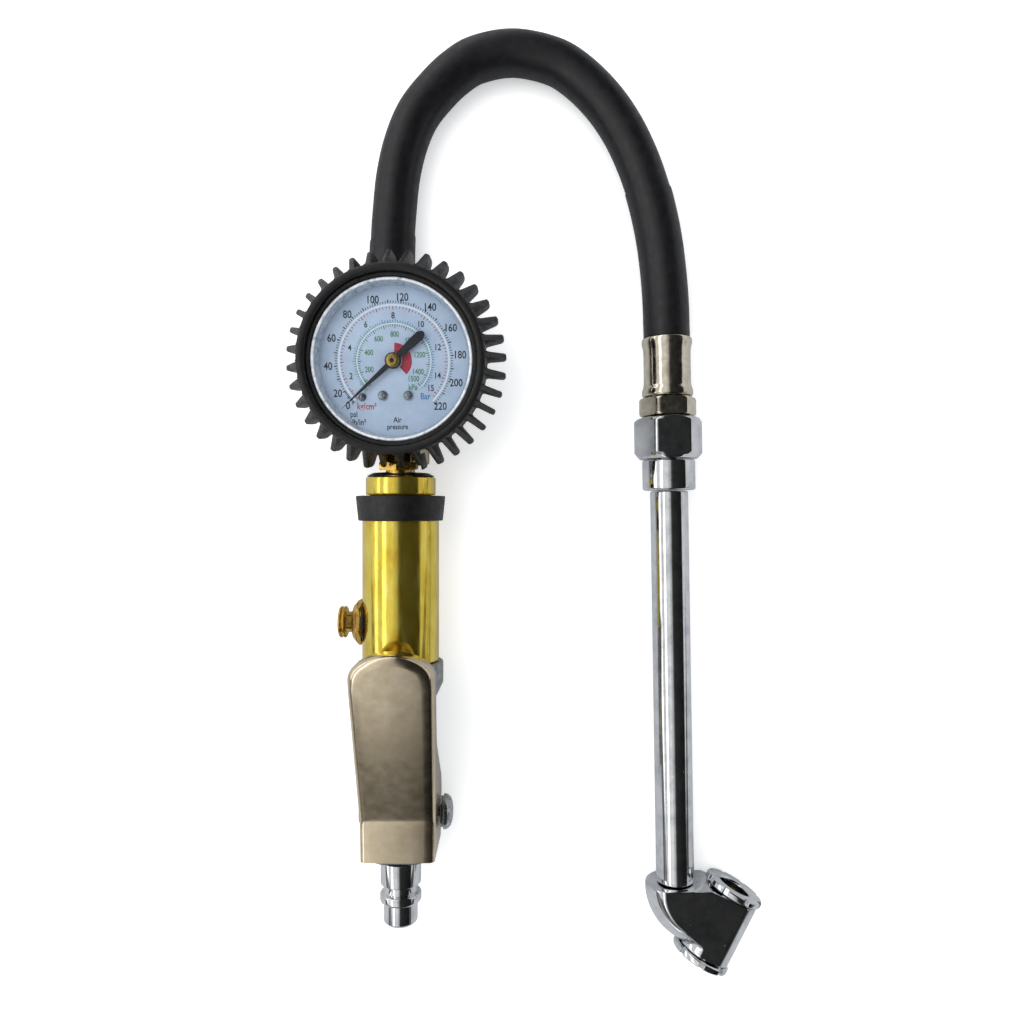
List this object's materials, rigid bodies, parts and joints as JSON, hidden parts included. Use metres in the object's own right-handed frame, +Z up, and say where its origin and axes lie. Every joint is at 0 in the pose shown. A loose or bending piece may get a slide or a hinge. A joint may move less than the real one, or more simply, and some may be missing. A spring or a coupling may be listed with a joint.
{
  "type": "tyre inflator with gauge",
  "caption": "Hand-held tyre inflator: trigger-lever grip with bleed button, round dial gauge in a ribbed boot, short hose and a long rigid arm with a dual-foot chuck.",
  "frame": {"origin": "middle of the flat back pad of the handle's body, on the surface that the inflator lies on", "axes": "+Z up from the surface towards the dial's face, +Y along the grip from the air inlet to the gauge, +X towards the rigid arm"},
  "size_m": [0.1457, 0.3001, 0.0437],
  "materials": {
    "cast_zinc": "as cast, lightly tumbled",
    "gold_anodised": "bright gold anodised",
    "black_rubber": "moulded, matt",
    "hose_rubber": "smooth extruded, satin",
    "black_plastic": "moulded",
    "chrome": "polished chrome plate",
    "satin_nickel": "satin nickel plate over pressed steel",
    "plated_ferrule": "bright nickel plate, warm tint",
    "steel": "zinc plated",
    "brass": "turned",
    "clear_lens": "clear moulded window",
    "dial_paint": "printed, satin",
    "pointer_black": "painted"
  },
  "bodies": {
    "root": {"valve_body": "cast_zinc", "handle_tube": "gold_anodised", "grip_ring": "black_rubber", "end_cap": "gold_anodised", "cap_washer": "black_plastic", "tube_oring_lower": "black_rubber", "tube_oring_upper": "black_rubber", "inlet_plug": "chrome", "lever_screw": "steel", "lever_washer": "black_plastic", "lever_nut": "steel", "valve_bush": "brass", "valve_spring": "steel", "valve_cap": "brass", "bleed_body": "brass", "bleed_gasket": "black_rubber", "bleed_spring": "steel", "gauge_boot": "black_rubber", "gauge_case": "steel", "bezel_ring": "black_plastic", "lens": "clear_lens", "dial": "dial_paint", "dial_screw_left": "steel", "dial_screw_right": "steel", "stop_pin": "steel", "movement_plate_front": "brass", "movement_plate_back": "brass", "hairspring": "brass", "bourdon_tube": "brass", "bourdon_socket": "brass", "hose_fitting_near": "brass", "hose_ferrule_near": "plated_ferrule", "hose_sleeve_near": "hose_rubber", "hose": "hose_rubber", "hose_sleeve_far": "hose_rubber", "hose_ferrule_far": "plated_ferrule", "hose_fitting_far": "plated_ferrule", "coupling_nut": "chrome", "arm_gland": "chrome", "extension_tube": "chrome", "chuck_head": "chrome", "chuck_ring_upper": "chrome", "chuck_ring_lower": "chrome", "chuck_seal_upper": "black_rubber", "chuck_seal_lower": "black_rubber", "poppet_spring_upper": "steel", "poppet_spring_lower": "steel"},
    "lever": {"lever": "satin_nickel"},
    "valve_pin": {"valve_pin": "steel", "valve_seal": "black_rubber"},
    "bleed_button": {"bleed_button": "brass", "bleed_seal": "black_rubber"},
    "pointer": {"pointer": "pointer_black", "pointer_cap": "brass", "pinion_arbor": "steel"},
    "sector": {"sector_gear": "brass"},
    "link": {"link_bar": "brass"},
    "poppet_upper": {"poppet_upper": "brass"},
    "poppet_lower": {"poppet_lower": "brass"}
  },
  "joints": [
    {"name": "lever_press", "type": "hinge", "parent": "root", "child": "lever", "pos_m": [0, -0.0185, 0.009], "axis": [-1, 0, 0], "range_deg": [0, 5.4], "stiffness_Nm_per_rad": 0.8, "springref_deg": -8.59},
    {"name": "valve_pin_slide", "type": "slide", "parent": "root", "child": "valve_pin", "axis": [0, 0, -1], "range_m": [0, 0.0031], "deforming": ["valve_spring"]},
    {"name": "bleed_press", "type": "slide", "parent": "root", "child": "bleed_button", "axis": [1, 0, 0], "range_m": [0, 0.002], "stiffness_N_per_m": 500, "springref_m": -0.002, "deforming": ["bleed_spring"]},
    {"name": "pointer_turn", "type": "hinge", "parent": "root", "child": "pointer", "pos_m": [0.0002, 0.12, 0.041], "axis": [0, 0.1045, -0.9945], "range_deg": [0, 268], "stiffness_Nm_per_rad": 0.0005, "springref_deg": -17.19, "deforming": ["hairspring"]},
    {"name": "sector_turn", "type": "hinge", "parent": "root", "child": "sector", "pos_m": [-0.00915, 0.12537, 0.04156], "axis": [0, 0.1045, -0.9945], "range_deg": [-34, 0]},
    {"name": "link_turn", "type": "hinge", "parent": "sector", "child": "link", "pos_m": [-0.013, 0.12338, 0.04136], "axis": [0, 0.1045, -0.9945], "range_deg": [0, 34]},
    {"name": "poppet_upper_slide", "type": "slide", "parent": "root", "child": "poppet_upper", "axis": [-0.454, -0.891, 0], "range_m": [0, 0.0015], "stiffness_N_per_m": 500, "springref_m": -0.002, "deforming": ["poppet_spring_upper"]},
    {"name": "poppet_lower_slide", "type": "slide", "parent": "root", "child": "poppet_lower", "axis": [0.454, 0.891, 0], "range_m": [0, 0.0015], "stiffness_N_per_m": 500, "springref_m": -0.002, "deforming": ["poppet_spring_lower"]}
  ],
  "couplings": [
    {"joint": "valve_pin_slide", "follows": "lever_press", "m_per_rad": 0.0318},
    {"joint": "sector_turn", "follows": "pointer_turn", "ratio": -0.125},
    {"joint": "link_turn", "follows": "pointer_turn", "ratio": 0.125}
  ]
}
